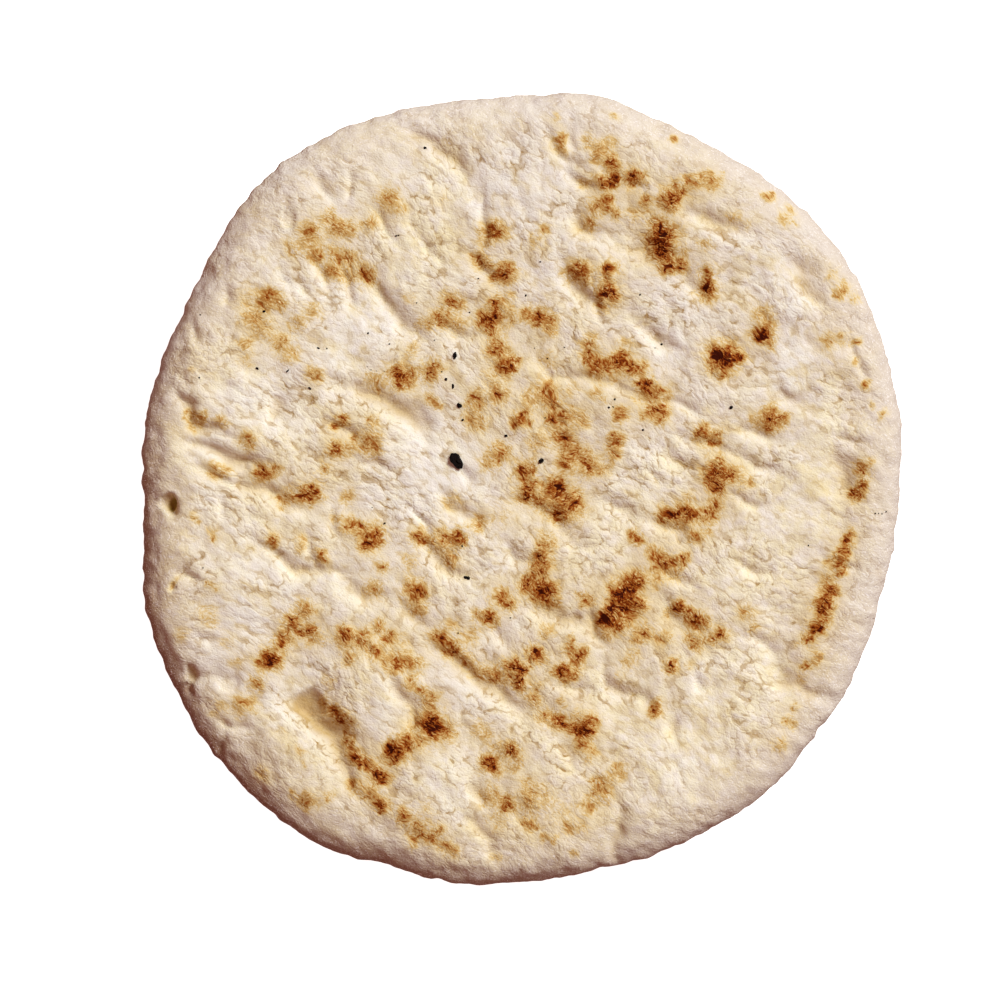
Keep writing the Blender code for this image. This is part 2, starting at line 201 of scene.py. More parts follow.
        (12.8, -90.8, 1.4, 0.38), (9, -80, 5, 0.16), (6, -76, 4, 0.2), (17.8, -72.5, 1.8, 0.44),
        (19, -75, 2.6, 0.46), (24, -69.8, 2.4, 0.42), (21, -73, 3, 0.32), (17, -79.4, 1.8, 0.48),
        (15.5, -78, 2.5, 0.3), (20.5, -77, 3, 0.26), (15, -84, 3, 0.22),
    ),
    "lower_right": (
        (28, -12, 2, 0.52), (28, -13.2, 2.2, 0.28), (42, -12, 2.2, 0.48), (43.6, -12.8, 1.8, 0.36),
        (46, -11.5, 1.6, 0.32), (32.8, -16.8, 2.4, 0.52), (35.6, -18.2, 2.6, 0.66),
        (39.8, -17.8, 2.2, 0.6), (33.2, -19.8, 2, 0.44), (37.5, -18, 2, 0.4), (38, -21, 3, 0.25),
        (28.6, -22.8, 2.6, 0.78), (26.4, -22.4, 2.2, 0.5), (26.6, -25.2, 2.6, 0.84),
        (24.2, -27, 2.8, 0.92), (27.2, -28, 2.4, 0.8), (29.4, -29.2, 2, 0.7),
        (22.5, -24.5, 2.2, 0.4), (22.2, -29.8, 2, 0.7), (24.6, -30.4, 2, 0.74),
        (21, -32.2, 2.2, 0.92), (23.6, -34, 2.2, 0.9), (19.8, -34, 2, 0.5), (26.5, -32, 3, 0.4),
        (21, -36, 2, 0.36), (33.5, -23.5, 3, 0.28), (29.8, -36.2, 2.6, 0.5), (28.2, -37.4, 2, 0.4),
        (35.3, -37.2, 2.2, 0.38), (32.5, -36, 2.4, 0.28), (39.2, -29.7, 2, 0.84),
        (37.6, -30.2, 1.8, 0.48), (41.3, -31.5, 2, 0.55), (43.6, -33, 2.5, 0.76),
        (45.5, -33.2, 1.6, 0.4), (49, -36.2, 2, 0.64), (43.2, -38, 2.6, 0.46), (47, -37.6, 2, 0.48),
        (41, -37.5, 2, 0.26), (36.8, -44, 1.6, 0.82), (37.4, -45, 1.8, 0.4), (26, -43, 2.5, 0.26),
        (28, -41.5, 2.4, 0.2), (41.5, -44.5, 2, 0.2), (33.2, -53.2, 1.5, 0.36),
        (33, -55.6, 1.7, 0.72), (55.6, -31.2, 3, 0.28), (57.6, -34.8, 2, 0.34),
        (24.5, -47.5, 2, 0.18),
    ),
    "right_rim": (
        (79.3, 49.3, 2.2, 0.42), (78.2, 48, 1.8, 0.3), (82.5, 46.8, 1.8, 0.26), (77, 53, 2.5, 0.2),
        (75.8, 36.6, 2.4, 0.34), (78.8, 38, 1.2, 0.36), (83, 36.5, 1.6, 0.34),
        (83.2, 31.6, 1.3, 0.38), (85.4, 25.8, 1.5, 0.52), (86.8, 20.6, 1.2, 0.3),
        (90.1, 18.2, 1.4, 0.36), (80, 37, 3, 0.16), (84.4, 5, 2.4, 0.54), (87.3, 6.3, 1.3, 0.36),
        (82.6, 4.2, 2, 0.34), (84.2, 0.8, 1.9, 0.7), (83, -1.6, 1.9, 0.7), (81.4, -11, 1.5, 0.62),
        (80.8, -13.2, 1.7, 0.66), (80, -15.6, 1.7, 0.74), (79.6, -17.6, 2, 0.6),
        (78, -19, 2.4, 0.44), (78.6, -20.8, 1.8, 0.48), (75.5, -22.6, 2.8, 0.34),
        (76.6, -25.8, 2.2, 0.7), (75.4, -28, 2.4, 0.78), (74.6, -30, 2.4, 0.74),
        (73.6, -28, 2.2, 0.5), (75, -32, 2.4, 0.55), (73, -34, 2.4, 0.66), (72.2, -34.8, 1.8, 0.68),
        (74.2, -35.4, 1.8, 0.5), (71.7, -37.8, 1.8, 0.68), (70.3, -38, 1.6, 0.36),
        (73.2, -41.5, 1.8, 0.4), (72, -43.8, 1.8, 0.36), (70.3, -44.5, 1.3, 0.48),
        (69.5, -47.5, 2.4, 0.24), (66, -57.8, 2.2, 0.34), (67.3, -59, 1.2, 0.36),
        (68, -54.5, 1.8, 0.24), (63.8, -63.8, 2.8, 0.28),
    ),
}  # fmt: skip

# Folds and furrows as (half width, depth, the points that one runs through)
FOLDS = (
    (1.6, 0.8, ((-51, 57), (-50, 53), (-47, 48.5))),
    (1.4, 0.8, ((-45, 55), (-43, 51), (-43, 47), (-40.5, 45))),
    (2.2, 1.1, ((-38, 51), (-34.5, 47), (-30, 42), (-27, 39), (-24.5, 37))),
    (1.1, 0.6, ((-83, 41), (-80, 36))),
    (1.0, 0.5, ((-86, 28.5), (-82, 25.5))),
    (1.0, 0.5, ((-74, 50), (-73, 46))),
    (1.0, 0.5, ((-60, 54), (-57.5, 50))),
    (1.0, 0.5, ((-55, 51), (-53, 46.5))),
    (1.6, 0.7, ((-51, 77), (-49, 74), (-47, 72))),
    (1.3, 0.6, ((-42, 78), (-43.5, 72))),
    (2.6, 1.0, ((-30, 90), (-22, 86.5), (-18, 83), (-15, 79), (-12.5, 76))),
    (1.2, 0.7, ((-38, 70), (-35, 65.5), (-31, 61))),
    (1.0, 0.6, ((-10.3, 74), (-10, 66), (-9.5, 60))),
    (1.5, 0.5, ((-28.5, 70), (-25.5, 62), (-23, 57.5), (-20, 56))),
    (1.5, 0.8, ((-13.5, 59), (-10, 54), (-6, 51))),
    (1.6, 0.7, ((9.5, 55), (12, 50.5), (17, 46))),
    (1.2, 0.6, ((5, 89), (9, 84), (14, 80))),
    (1.4, 0.6, ((-20, 40), (-15, 38), (-10, 37.5))),
    (1.0, 0.5, ((11.5, 88.5), (13.5, 84.5))),
    (1.4, 0.8, ((11, 79), (15, 75.5), (19, 74.3))),
    (1.6, 0.9, ((12.5, 69), (14, 65.5), (17, 63.5), (21, 63.5))),
    (1.2, 0.6, ((25, 75), (31, 74.5))),
    (2.0, 1.0, ((41, 69.5), (47, 66.5), (51, 64), (57, 63))),
    (2.3, 0.9, ((25, 61), (29, 59), (31.5, 56.5))),
    (1.9, 0.7, ((38, 53), (42, 49), (45, 46.5))),
    (1.3, 0.5, ((31, 90), (35, 87), (41, 84.5))),
    (1.4, 0.6, ((15, 49), (18, 45.5), (20, 40))),
    (2.6, 1.4, ((-46, 25.5), (-38, 24), (-33, 21.5), (-28, 18.5), (-25, 15), (-23, 11.5))),
    (1.4, 0.6, ((-40.5, 7.5), (-36, 5.5), (-33, 5))),
    (1.9, 1.0, ((-21, -2.5), (-15, -5.5), (-11, -9), (-9, -11.5))),
    (1.0, 0.7, ((-28.5, -4), (-26, -7), (-23, -10))),
    (1.4, 0.8, ((-48, 16.5), (-43, 13.5), (-40, 11))),
    (1.2, 0.6, ((-17, 5.5), (-12.5, 1.5))),
    (1.0, 0.5, ((-26, 21), (-24, 17), (-22, 14))),
    (1.6, 0.8, ((3, 32), (7, 28.5), (13, 27.5), (18, 26))),
    (1.6, 0.7, ((0, -3.5), (5, -6), (10, -9.5), (15, -12))),
    (1.4, 0.9, ((29, 40.5), (33, 37.5), (35, 35.5), (39, 34.3))),
    (1.4, 0.7, ((15, 27.5), (22, 26.5), (28, 23.5), (31, 20.5))),
    (1.2, 0.6, ((35, 22), (40, 20.5), (44.5, 18))),
    (1.4, 0.7, ((39, 13.3), (42, 11.5), (47, 10.2), (54, 9))),
    (1.9, 0.7, ((35, 9.5), (38, 7), (41.5, 5))),
    (1.2, 0.8, ((53.5, 8), (58, 5), (63.5, 4.2))),
    (1.9, 0.8, ((20.5, -2.5), (24, -5.5), (29, -7))),
    (1.5, 0.8, ((31, -7.5), (36, -10), (39, -11), (40.5, -13.5))),
    (1.0, 0.8, ((52.5, -2.2), (60.5, -4.2))),
    (1.4, 0.8, ((54, 15.5), (59, 13), (63, 13))),
    (1.9, 0.8, ((62, 25), (67, 21.5), (71, 19.8))),
    (1.2, 0.5, ((30, 4.5), (35, 1.3))),
    (1.6, 1.1, ((-86.5, 26), (-83.5, 20), (-82, 16.5), (-79, 15), (-75, 14.5), (-71, 12.5))),
    (1.7, 1.1, ((-84, 12.5), (-78, 9.5), (-74, 8), (-71, 6.3), (-67, 6.3), (-64.5, 5))),
    (1.1, 0.7, ((-80.5, 4.2), (-76, 2), (-71, 1))),
    (1.9, 1.1, ((-70, 5.5), (-69.3, 1), (-66.5, -0.7), (-62, -1.8), (-59.5, -4), (-56, -4.8))),
    (2.2, 1.0, ((-60, 24), (-60.5, 19.5), (-62.5, 16.5))),
    (1.5, 1.0, ((-68, -12.5), (-65, -14.8), (-61, -17), (-57, -19.5), (-50, -21), (-43, -20.5))),
    (1.0, 0.6, ((-53, -11.5), (-53, -15), (-51, -19))),
    (1.1, 0.6, ((-47, -4.5), (-47.5, -9), (-45, -12.5))),
    (1.9, 1.0, ((-44.5, -21.5), (-42, -25), (-39, -27), (-34, -27))),
    (1.2, 0.7, ((-85, -20.5), (-80, -23.2))),
    (1.1, 0.5, ((-75, -2.5), (-74.5, -7.5))),
    (3.0, 2.0, ((-59, -52), (-54, -54.5), (-50, -58), (-47.3, -62), (-44.8, -66))),
    (2.0, 0.9, ((-45, -66), (-43.5, -71), (-41, -75.5))),
    (1.0, 0.5, ((-81, -36.3), (-76, -37.7))),
    (1.8, 0.6, ((-86, -46.5), (-82.5, -46.5), (-77, -45.8), (-72, -46.5))),
    (1.4, 0.7, ((-76, -56.5), (-72, -60), (-67, -60))),
    (1.3, 0.7, ((-76, -66.5), (-74, -62.5))),
    (1.8, 1.0, ((-24.5, -14.5), (-21, -18.5), (-18, -20.7), (-13, -21.2), (-10, -20))),
    (2.0, 0.8, ((-30.5, -28.5), (-27, -33), (-22.5, -35.5))),
    (2.3, 1.1, ((-22.5, -38.5), (-19, -42), (-14, -45.7), (-9, -48.8), (-5, -50.8), (-2, -54), (2, -57))),
    (2.0, 0.9, ((-33.5, -48), (-30, -52.5), (-25.5, -55.5))),
    (2.0, 1.1, ((0.5, -29.5), (6, -31.5), (12, -32.5), (17, -35.5))),
    (1.5, 0.9, ((17.5, -30.5), (18, -36), (21, -38.5))),
    (2.0, 0.6, ((-8.5, -33), (-6, -36.5), (-2, -39.5))),
    (1.4, 0.6, ((10, -11), (14, -14), (20.5, -14))),
    (1.6, 0.7, ((-4.5, -13.5), (-1, -17), (3, -18))),
    (1.5, 0.7, ((7.5, -47.5), (12, -49.7), (17.5, -49.5))),
    (1.5, 0.9, ((-27.8, -55), (-27.3, -59))),
    (1.7, 1.1, ((20.3, -44), (21, -49), (25, -50.7), (29, -52.5), (32.5, -54.5))),
    (1.2, 0.9, ((36.8, -57), (37.5, -63.5))),
    (1.4, 0.9, ((53.5, -18.7), (57, -20.5), (60.5, -22.7))),
    (2.3, 1.0, ((62.5, -44.5), (66, -49), (70, -50.7), (77, -52))),
    (1.2, 0.6, ((34.5, -20.3), (39, -22.5), (42.5, -23.7))),
    (1.6, 0.8, ((35, -27.5), (36, -31), (40, -34.7))),
    (0.9, 0.5, ((43, -46.5), (45, -50), (50.5, -49.3))),
    (1.1, 0.5, ((40, -39.5), (42.3, -42.3))),
    (1.8, 0.7, ((56.5, -36.8), (60, -38), (64, -43))),
    (1.5, 0.9, ((25, -80.5), (24, -85), (22.7, -89), (23, -92), (25, -95))),
    (1.6, 0.9, ((-12.5, -72.5), (-10.5, -77), (-8.8, -79.5))),
    (2.0, 0.9, ((-14.5, -80.5), (-11, -84), (-8, -88), (-5.5, -92))),
    (1.8, 0.6, ((8, -62.5), (12, -67), (16, -69.5))),
    (2.8, 1.0, ((65, 59), (70, 53), (72, 48), (74, 43.5))),
    (2.6, 0.8, ((70.5, 39), (74, 32.5))),
    (3.0, 0.9, ((76.5, 13), (79.5, 4), (80.5, -7))),
    (1.0, 0.6, ((81.5, 36), (84, 30), (86, 26))),
    (1.2, 0.6, ((78.5, 13), (85.5, 11))),
    (1.1, 0.5, ((79.5, -19.5), (84, -21.5))),
)  # fmt: skip

# Small pits, where the dough was pricked or tore, as (x, y, reach, depth)
PITS = (
    (-88.3, -3.6, 2.7, 1.1),
    (-87.0, -4.8, 2.5, 1.1),
    (-82.7, -46.6, 2.2, 0.7),
    (-84.3, -50.4, 2.4, 0.7),
    (-73.0, -48.8, 2.8, 0.4),
    (-53.0, -53.6, 3.8, 0.8),
    (-58.5, 67.0, 2.6, 0.6),
    (-86.8, -23.7, 1.4, 0.6),
)

# Burnt crumbs as (x, y, length, width, heading in degrees)
BURNT_CRUMBS = (
    (-16.4, 6.8, 4.4, 2.5, -58), (-16.7, 33.0, 1.8, 1.1, 80), (-15.6, 20.6, 1.5, 1.2, -30),
    (4.7, 6.8, 1.5, 1.0, 35), (-13.6, -22.3, 1.7, 1.1, -20), (-18.9, 27.0, 0.8, 0.7, 0),
    (-17.2, 25.3, 1.2, 0.6, 80), (-14.8, 16.9, 0.7, 0.6, 0), (51.9, 20.0, 1.0, 0.8, 20),
    (-64.1, 43.9, 0.9, 0.6, 20), (-50.7, 34.8, 0.8, 0.5, -30), (-48.5, 34.7, 0.4, 0.4, 0),
    (-65.8, 29.7, 0.8, 0.6, -40), (-58.2, 29.2, 1.2, 0.45, 50), (-52.8, 24.8, 1.0, 0.6, -35),
    (34.7, 35.8, 0.7, 0.6, 0), (33.0, 34.8, 0.35, 0.3, 0), (23.0, 22.0, 0.6, 0.5, 0),
    (21.5, 20.0, 0.7, 0.5, 0), (22.6, 20.1, 0.5, 0.3, -40), (30.0, 14.4, 0.6, 0.5, 0),
    (0.9, 47.9, 0.6, 0.5, 60), (29.3, 48.0, 0.5, 0.45, 0), (-34.2, -8.8, 0.6, 0.5, 0),
    (-2.9, -32.2, 0.5, 0.4, 0), (-4.0, 13.0, 1.0, 0.6, 0), (-14.9, -14.4, 0.6, 0.4, 90),
    (-15.9, -36.0, 0.5, 0.4, 0), (-80.1, 43.1, 0.4, 0.4, 0), (-38.3, 38.5, 0.5, 0.45, 0),
    (-33.0, 35.8, 0.4, 0.4, 0), (-21.8, 36.7, 0.4, 0.35, 0), (-31.3, 62.7, 0.6, 0.4, 20),
    (-30.7, 62.8, 0.4, 0.3, 0), (-26.2, 46.0, 0.4, 0.35, 0), (-13.1, 43.7, 0.45, 0.4, 0),
    (-24.2, 84.6, 0.8, 0.7, 0), (4.5, 56.2, 0.45, 0.4, 0), (-10.9, 52.1, 0.6, 0.4, 30),
    (-20.0, 28.9, 0.4, 0.35, 0), (6.3, 32.2, 0.4, 0.35, 0), (3.1, 34.8, 0.3, 0.3, 0),
    (10.5, 35.0, 0.45, 0.3, 0), (5.7, 17.4, 0.4, 0.35, 0), (-80.2, 27.4, 0.4, 0.4, 0),
    (-79.2, -19.8, 0.4, 0.35, 0), (71.2, -14.3, 0.4, 0.35, 0), (87.8, -6.3, 0.4, 0.4, 0),
    (88.7, -6.3, 0.3, 0.3, 0), (89.6, -6.4, 0.4, 0.4, 0), (90.6, -5.9, 0.5, 0.3, 30),
    (-37.6, 29.4, 0.6, 0.15, -5), (-36.2, 29.1, 0.4, 0.15, -30), (-34.3, 29.1, 0.4, 0.15, -30),
    (-38.5, 30.2, 0.3, 0.15, 0), (-37.3, -4.8, 0.4, 0.2, 0),
)  # fmt: skip

# ---------------------------------------------------------------- sizes of the crust's mesh

CELLS = 248  # squares across the top, a number that 4 divides
UPPER_RINGS = 16  # round the rim, from the top to level
LOWER_RINGS = 8  # from level to the underside
RIM_WIDTH = 9.0 * MM  # the band that the rings cover
TUCKED_RINGS = (1.2 * MM, 3.0 * MM)  # how far further in the underside's halved rings lie
UNDERSIDE_INSET = 5.5 * MM  # how far further in its coarse grid starts
CORE_HEIGHT = 5.0 * MM  # the height that the rim's rays start from
WAIST = 4.8 * MM  # where the loaf is widest
CAD_LEVELS = 2  # subdivision that rounds the frame's facets

# ---------------------------------------------------------------- how marks and folds spread

TOP_START = 4.0  # the height in millimetres at which the marks on the top begin
TOP_RISE = 3.0  # how much higher they reach their full strength
RIM_BAND = 16.0  # how far in from the edge the crust counts as rim, in millimetres
HALO = 1.75  # how far a scorch's golden halo spreads, as a share of its reach
CORE = 0.82  # how far its brown core spreads
HALO_SHARE = 0.23  # how much of its depth is halo
MERGING = 2.6  # how little scorches that overlap add up: 1 for a plain sum
MARK_LIMIT = 5  # how many reaches away a scorch ends
HAZE = 6.5  # how far a mark warms the crust around it, in millimetres
HAZE_GROWTH = 0.3  # how fast marks that crowd together bring the crust to full warmth
HAZE_LIMIT = 3  # how many hazes away that warmth ends
FOLD_LIMIT = 3  # how many half widths away a fold ends
FOLD_END = 0.35  # the share of its depth that a fold keeps at its ends
FOLD_TAPER = 0.3  # the share of its length over which it gets there
FOLD_SHAPE = 1.5  # 1 for a sharp valley, and more for a rounder one
PIT_STEEPNESS = 1.5  # 1 for a bowl, and more for a flat bottom

# ---------------------------------------------------------------- how the dough was worked

BOBBLE = 1.6  # the width of the crust's wrinkled lumps, in millimetres
GRAIN_HEADING = math.radians(-36)  # the way the dough was stretched, which its wrinkles follow
SEED = 2041  # fixes how the drawn marks and folds wander
GRAIN_SWAY = 16  # how far the grain sways to and fro, in millimetres
LUMP_STRETCH = 1.7  # how many times longer than wide the wrinkled lumps are
CREASE_STRETCH = 2.2  # the same, for the long creases
SWELL_STRETCH = 2.6  # the same, for the broad swells
PUSH = 1.8  # how far kneading pushed the lumps about, in millimetres


def srgb(red, green, blue):
    """A colour given by its display values from 0 to 255, as linear light."""
    channels = (value / 255 for value in (red, green, blue))
    return (*(c / 12.92 if c < 0.04045 else ((c + 0.055) / 1.055) ** 2.4 for c in channels), 1.0)


# ---------------------------------------------------------------- node trees as expressions


class Wire:
    """An output of a node. Arithmetic on it adds Math nodes to its tree."""

    def __init__(self, tree, socket):
        self.tree = tree
        self.socket = socket

    def out(self, name):
        """Another output of the same node."""
        return Wire(self.tree, self.socket.node.outputs[name])

    def maths(self, operation, *values, clamp=False):
        settings = {"operation": operation, "use_clamp": clamp}
        return node(self.tree, "ShaderNodeMath", settings, dict(enumerate(values)))

    def __add__(self, other):
        return self.maths("ADD", self, other)

    def __sub__(self, other):
        return self.maths("SUBTRACT", self, other)

    def __rsub__(self, other):
        return self.maths("SUBTRACT", other, self)

    def __mul__(self, other):
        return self.maths("MULTIPLY", self, other)

    def __truediv__(self, other):
        return self.maths("DIVIDE", self, other)

    def __pow__(self, other):
        return self.maths("POWER", self, other)

    def __abs__(self):
        return self.maths("ABSOLUTE", self)

    __radd__ = __add__
    __rmul__ = __mul__

    def clamped(self):
        return self.maths("ADD", self, 0.0, clamp=True)

    def step(self, low, high):
        """Rises smoothly from 0 at low to 1 at high, or falls if high is the lower."""
        if high < low:
            return 1 - self.step(high, low)
        settings = {"interpolation_type": "SMOOTHSTEP"}
        values = {"Value": self, "From Min": low, "From Max": high}
        return node(self.tree, "ShaderNodeMapRange", settings, values)

    def vector(self, operation, other):
        return node(self.tree, "ShaderNodeVectorMath", {"operation": operation}, {0: self, 1: other})

    def times(self, factors):
        return self.vector("MULTIPLY", factors)

    def plus(self, other):
        return self.vector("ADD", other)


def node(tree, kind, settings=None, values=None, output=0):
    """Adds a node, sets it up, fills or links its inputs, and returns one of its outputs."""
    made = tree.nodes.new(kind)
    for name, value in (settings or {}).items():
        if name == "stops":
            set_stops(made.color_ramp, value)
        else:
            setattr(made, name, value)
    for name, value in (values or {}).items():
        if isinstance(value, Wire):
            tree.links.new(value.socket, made.inputs[name])
        else:
            made.inputs[name].default_value = value
    return Wire(tree, made.outputs[output]) if made.outputs else made


def set_stops(ramp, stops):
    while len(ramp.elements) < len(stops):
        ramp.elements.new(0.5)
    for element, (position, colour) in zip(ramp.elements, stops):
        element.position = position
        element.color = colour


def blend_colours(share, low, high):
    """The colour low where share is 0 and high where it is 1."""
    values = {0: share, 6: low, 7: high}
    return node(share.tree, "ShaderNodeMix", {"data_type": "RGBA"}, values, output=2)


def cloud(place, size, detail=2.0, rough=0.5, kind="FBM"):
    """Cloudy noise from about 0 to 1, whose blobs are about size millimetres across."""
    settings = {"noise_type": kind, "noise_dimensions": "3D"}
    values = {"Vector": place, "Scale": 1 / size, "Detail": detail, "Roughness": rough}
    return node(place.tree, "ShaderNodeTexNoise", settings, values)


# ---------------------------------------------------------------- the dough's patterns, for mesh and colour


def along_grain(place, stretch):
    """Places turned to the grain and squeezed along it, so that patterns there look stretched."""
    sway = cloud(place, 42).out("Color").plus((-0.5, -0.5, -0.5)).times((GRAIN_SWAY, GRAIN_SWAY, 0))
    values = {"Vector": place.plus(sway), "Angle": -GRAIN_HEADING}
    turned = node(place.tree, "ShaderNodeVectorRotate", {"rotation_type": "Z_AXIS"}, values)
    return turned.times((1 / stretch, 1, 1))


def kneaded(place):
    """Places squeezed along the grain and pushed about, for the dough's lumps and speckles."""
    push = cloud(place, 2.6, detail=1).out("Color").plus((-0.5, -0.5, -0.5))
    return along_grain(place, LUMP_STRETCH).plus(push.times((PUSH, PUSH, PUSH)))


def bobbles(kneaded_place, size):
    """Rounded lumps side by side, from 1 on their tops to 0 in the creases between them."""
    values = {"Vector": kneaded_place, "Scale": 1 / size}
    from_middle = node(kneaded_place.tree, "ShaderNodeTexVoronoi", {}, values)
    return (1 - 1.6 * from_middle * from_middle).clamped()


def crinkled(place):
    """How far the crust crinkled up, from 0.28 where it stayed nearly smooth to 1."""
    return 0.28 + 0.72 * cloud(place, 13, detail=3).step(0.38, 0.60)


def long_creases(place):
    """1 along sparse creases that follow the grain."""
    runs = abs(cloud(along_grain(place, CREASE_STRETCH), 6.5, detail=2) - 0.5).step(0.05, 0.0)
    return runs * cloud(place, 11, detail=1).step(0.45, 0.62)


# ---------------------------------------------------------------- the crust's mesh


def smooth_frame(cad_node):
    """A tree for casting rays at a smooth copy of a node of the frame."""
    bm = bmesh.new()
    bm.from_mesh(cad_node.data)
    bmesh.ops.remove_doubles(bm, verts=bm.verts, dist=0.001 * MM)
    bmesh.ops.join_triangles(
        bm, faces=bm.faces, angle_face_threshold=0.6, angle_shape_threshold=1.2
    )
    mesh = bpy.data.meshes.new("smooth_frame")
    bm.to_mesh(mesh)
    bm.free()
    copy = bpy.data.objects.new("smooth_frame", mesh)
    bpy.context.scene.collection.objects.link(copy)
    rounding = copy.modifiers.new("rounding", "SUBSURF")
    rounding.levels = rounding.render_levels = CAD_LEVELS
    tree = BVHTree.FromObject(copy, bpy.context.evaluated_depsgraph_get())
    bpy.data.objects.remove(copy)
    return tree


def square_to_disc(a, b):
    """(share of the radius, angle) for points of the square from -1 to 1, with even cells."""
    wide = np.abs(a) > np.abs(b)
    share = np.where(wide, a, b)
    with np.errstate(divide="ignore", invalid="ignore"):
        angle = np.where(wide, math.pi / 4 * b / a, math.pi / 2 - math.pi / 4 * a / b)
    angle = np.where(share == 0, 0.0, angle)
    return np.abs(share), np.where(share < 0, angle + math.pi, angle)


def disc_grid(cells):
    """(shares, angles, quads, border) of a square grid drawn into a disc, the border anticlockwise."""
    steps = np.linspace(-1, 1, cells + 1)
    b, a = (part.ravel() for part in np.meshgrid(steps, steps, indexing="ij"))
    shares, angles = square_to_disc(a, b)
    index = np.arange((cells + 1) ** 2).reshape(cells + 1, cells + 1)
    corners = (index[:-1, :-1], index[:-1, 1:], index[1:, 1:], index[1:, :-1])
    quads = np.stack([corner.ravel() for corner in corners], 1)
    border = np.concatenate([index[0, :-1], index[:-1, -1], index[-1, :0:-1], index[:0:-1, 0]])
    return shares, angles, quads, border


class Skin:
    """Collects the points and faces of the crust's closed skin."""

    def __init__(self, surface):
        self.surface = surface
        self.points = []
        self.faces = []

    def add(self, points):
        start = len(self.points)
        self.points.extend(points)
        return np.arange(start, len(self.points))

    def hit(self, start, direction):
        return self.surface.ray_cast(Vector(start), Vector(direction))[0]

    def rim_radius(self, angle):
        start = (0, 0, WAIST)
        return self.hit(start, (math.cos(angle), math.sin(angle), 0)).xy.length

    def lay_disc(self, cells, radii_at, up):
        """The top or the underside as a grid. Returns its border."""
        shares, angles, quads, border = disc_grid(cells)
        radii = shares * radii_at(angles)
        places = zip(radii * np.cos(angles), radii * np.sin(angles))
        index = self.add([self.hit((x, y, CORE_HEIGHT), (0, 0, up)) for x, y in places])
        self.faces.extend(index[quads if up > 0 else quads[:, ::-1]].tolist())
        return index[border], angles[border]

    def lay_ring(self, before, angles, radii, tilt):
        """One ring round the rim, where rays that lean by tilt leave the rim's core."""
        out, up = math.cos(tilt), math.sin(tilt)
        points = []
        for angle, radius in zip(angles, radii):
            x, y = math.cos(angle), math.sin(angle)
            points.append(self.hit((x * radius, y * radius, CORE_HEIGHT), (x * out, y * out, up)))
        ring = self.add(points)
        quads = np.stack([before, ring, np.roll(ring, -1), np.roll(before, -1)], 1)
        self.faces.extend(quads.tolist())
        return ring

    def join_halved(self, ring, inner):
        """Joins a ring to one of half as many points."""
        first, middle, last = ring[0::2], ring[1::2], np.roll(ring, -2)[0::2]
        after = np.roll(inner, -1)
        for triangle in ((first, inner, middle), (middle, inner, after), (middle, after, last)):
            self.faces.extend(np.stack(triangle, 1).tolist())


def build_skin(surface):
    """The loaf's smooth skin: a fine top and rim, and a coarser underside."""
    skin = Skin(surface)
    turns = np.linspace(0, math.tau, 721)
    rim = np.array([skin.rim_radius(turn) for turn in turns])

    def core_radii(angles):
        return np.interp(np.mod(angles, math.tau), turns, rim) - RIM_WIDTH

    ring, angles = skin.lay_disc(CELLS, core_radii, 1)
    radii = core_radii(angles)
    quarter = math.pi / 2
    tilts = [quarter * (1 - k / UPPER_RINGS) for k in range(1, UPPER_RINGS + 1)]
    tilts += [-quarter * k / LOWER_RINGS for k in range(1, LOWER_RINGS + 1)]
    for tilt in tilts:
        ring = skin.lay_ring(ring, angles, radii, tilt)
    for inward in TUCKED_RINGS:
        angles = angles[0::2]
        radii = core_radii(angles) - inward
        places = zip(radii * np.cos(angles), radii * np.sin(angles))
        inner = skin.add([skin.hit((x, y, CORE_HEIGHT), (0, 0, -1)) for x, y in places])
        skin.join_halved(ring, inner)
        ring = inner
    border, border_angles = skin.lay_disc(CELLS // 4, lambda a: core_radii(a) - UNDERSIDE_INSET, -1)
    ring = np.roll(ring, -int(np.argmin(np.abs(angles - border_angles[0]))))
    quads = np.stack([ring, border, np.roll(border, -1), np.roll(ring, -1)], 1)
    skin.faces.extend(quads.tolist())
    mesh = bpy.data.meshes.new("crust")
    mesh.from_pydata([tuple(point) for point in skin.points], [], skin.faces)
    mesh.validate()
    mesh.shade_smooth()
    return mesh


# ---------------------------------------------------------------- marks and folds, laid on the mesh


def points_of(mesh):
    found = np.empty(len(mesh.vertices) * 3, np.float32)
    mesh.vertices.foreach_get("co", found)
    return found.reshape(-1, 3).astype(float) / MM


def store(mesh, name, values, kind="FLOAT"):
    attribute = mesh.attributes.new(name, kind, "POINT")
    field = "vector" if kind == "FLOAT_VECTOR" else "value"
    attribute.data.foreach_set(field, np.asarray(values, np.float32).ravel())


def wandering(points, size, reach):
    """How far, in millimetres, each point is led astray, which makes drawn shapes ragged."""
    astray = [noise.noise_vector(Vector(point) / size) for point in points]
    return np.array(astray)[:, :2] * reach


def browning(places):
    """How far the crust browned at each place, from 0 to 1."""
    total = np.zeros(len(places))
    for marks in SCORCHES.values():
        for x, y, reach, depth in marks:
            share = np.hypot(places[:, 0] - x, places[:, 1] - y) / reach
            near = share < MARK_LIMIT
            halo = HALO_SHARE * np.exp(-((share[near] / HALO) ** 2))
            core = (1 - HALO_SHARE) * np.exp(-((share[near] / CORE) ** 2))
            total[near] += (depth * (halo + core)) ** MERGING
    return total ** (1 / MERGING)


def warmth(places):
    """How far the crust round about took colour, from 0 to 1, most where marks crowd together."""
    total = np.zeros(len(places))
    for marks in SCORCHES.values():
        for x, y, reach, depth in marks:
            gap = np.hypot(places[:, 0] - x, places[:, 1] - y) / HAZE
            near = gap < HAZE_LIMIT
            total[near] += depth * np.exp(-(gap[near] ** 2))
    return 1 - np.exp(-HAZE_GROWTH * total)


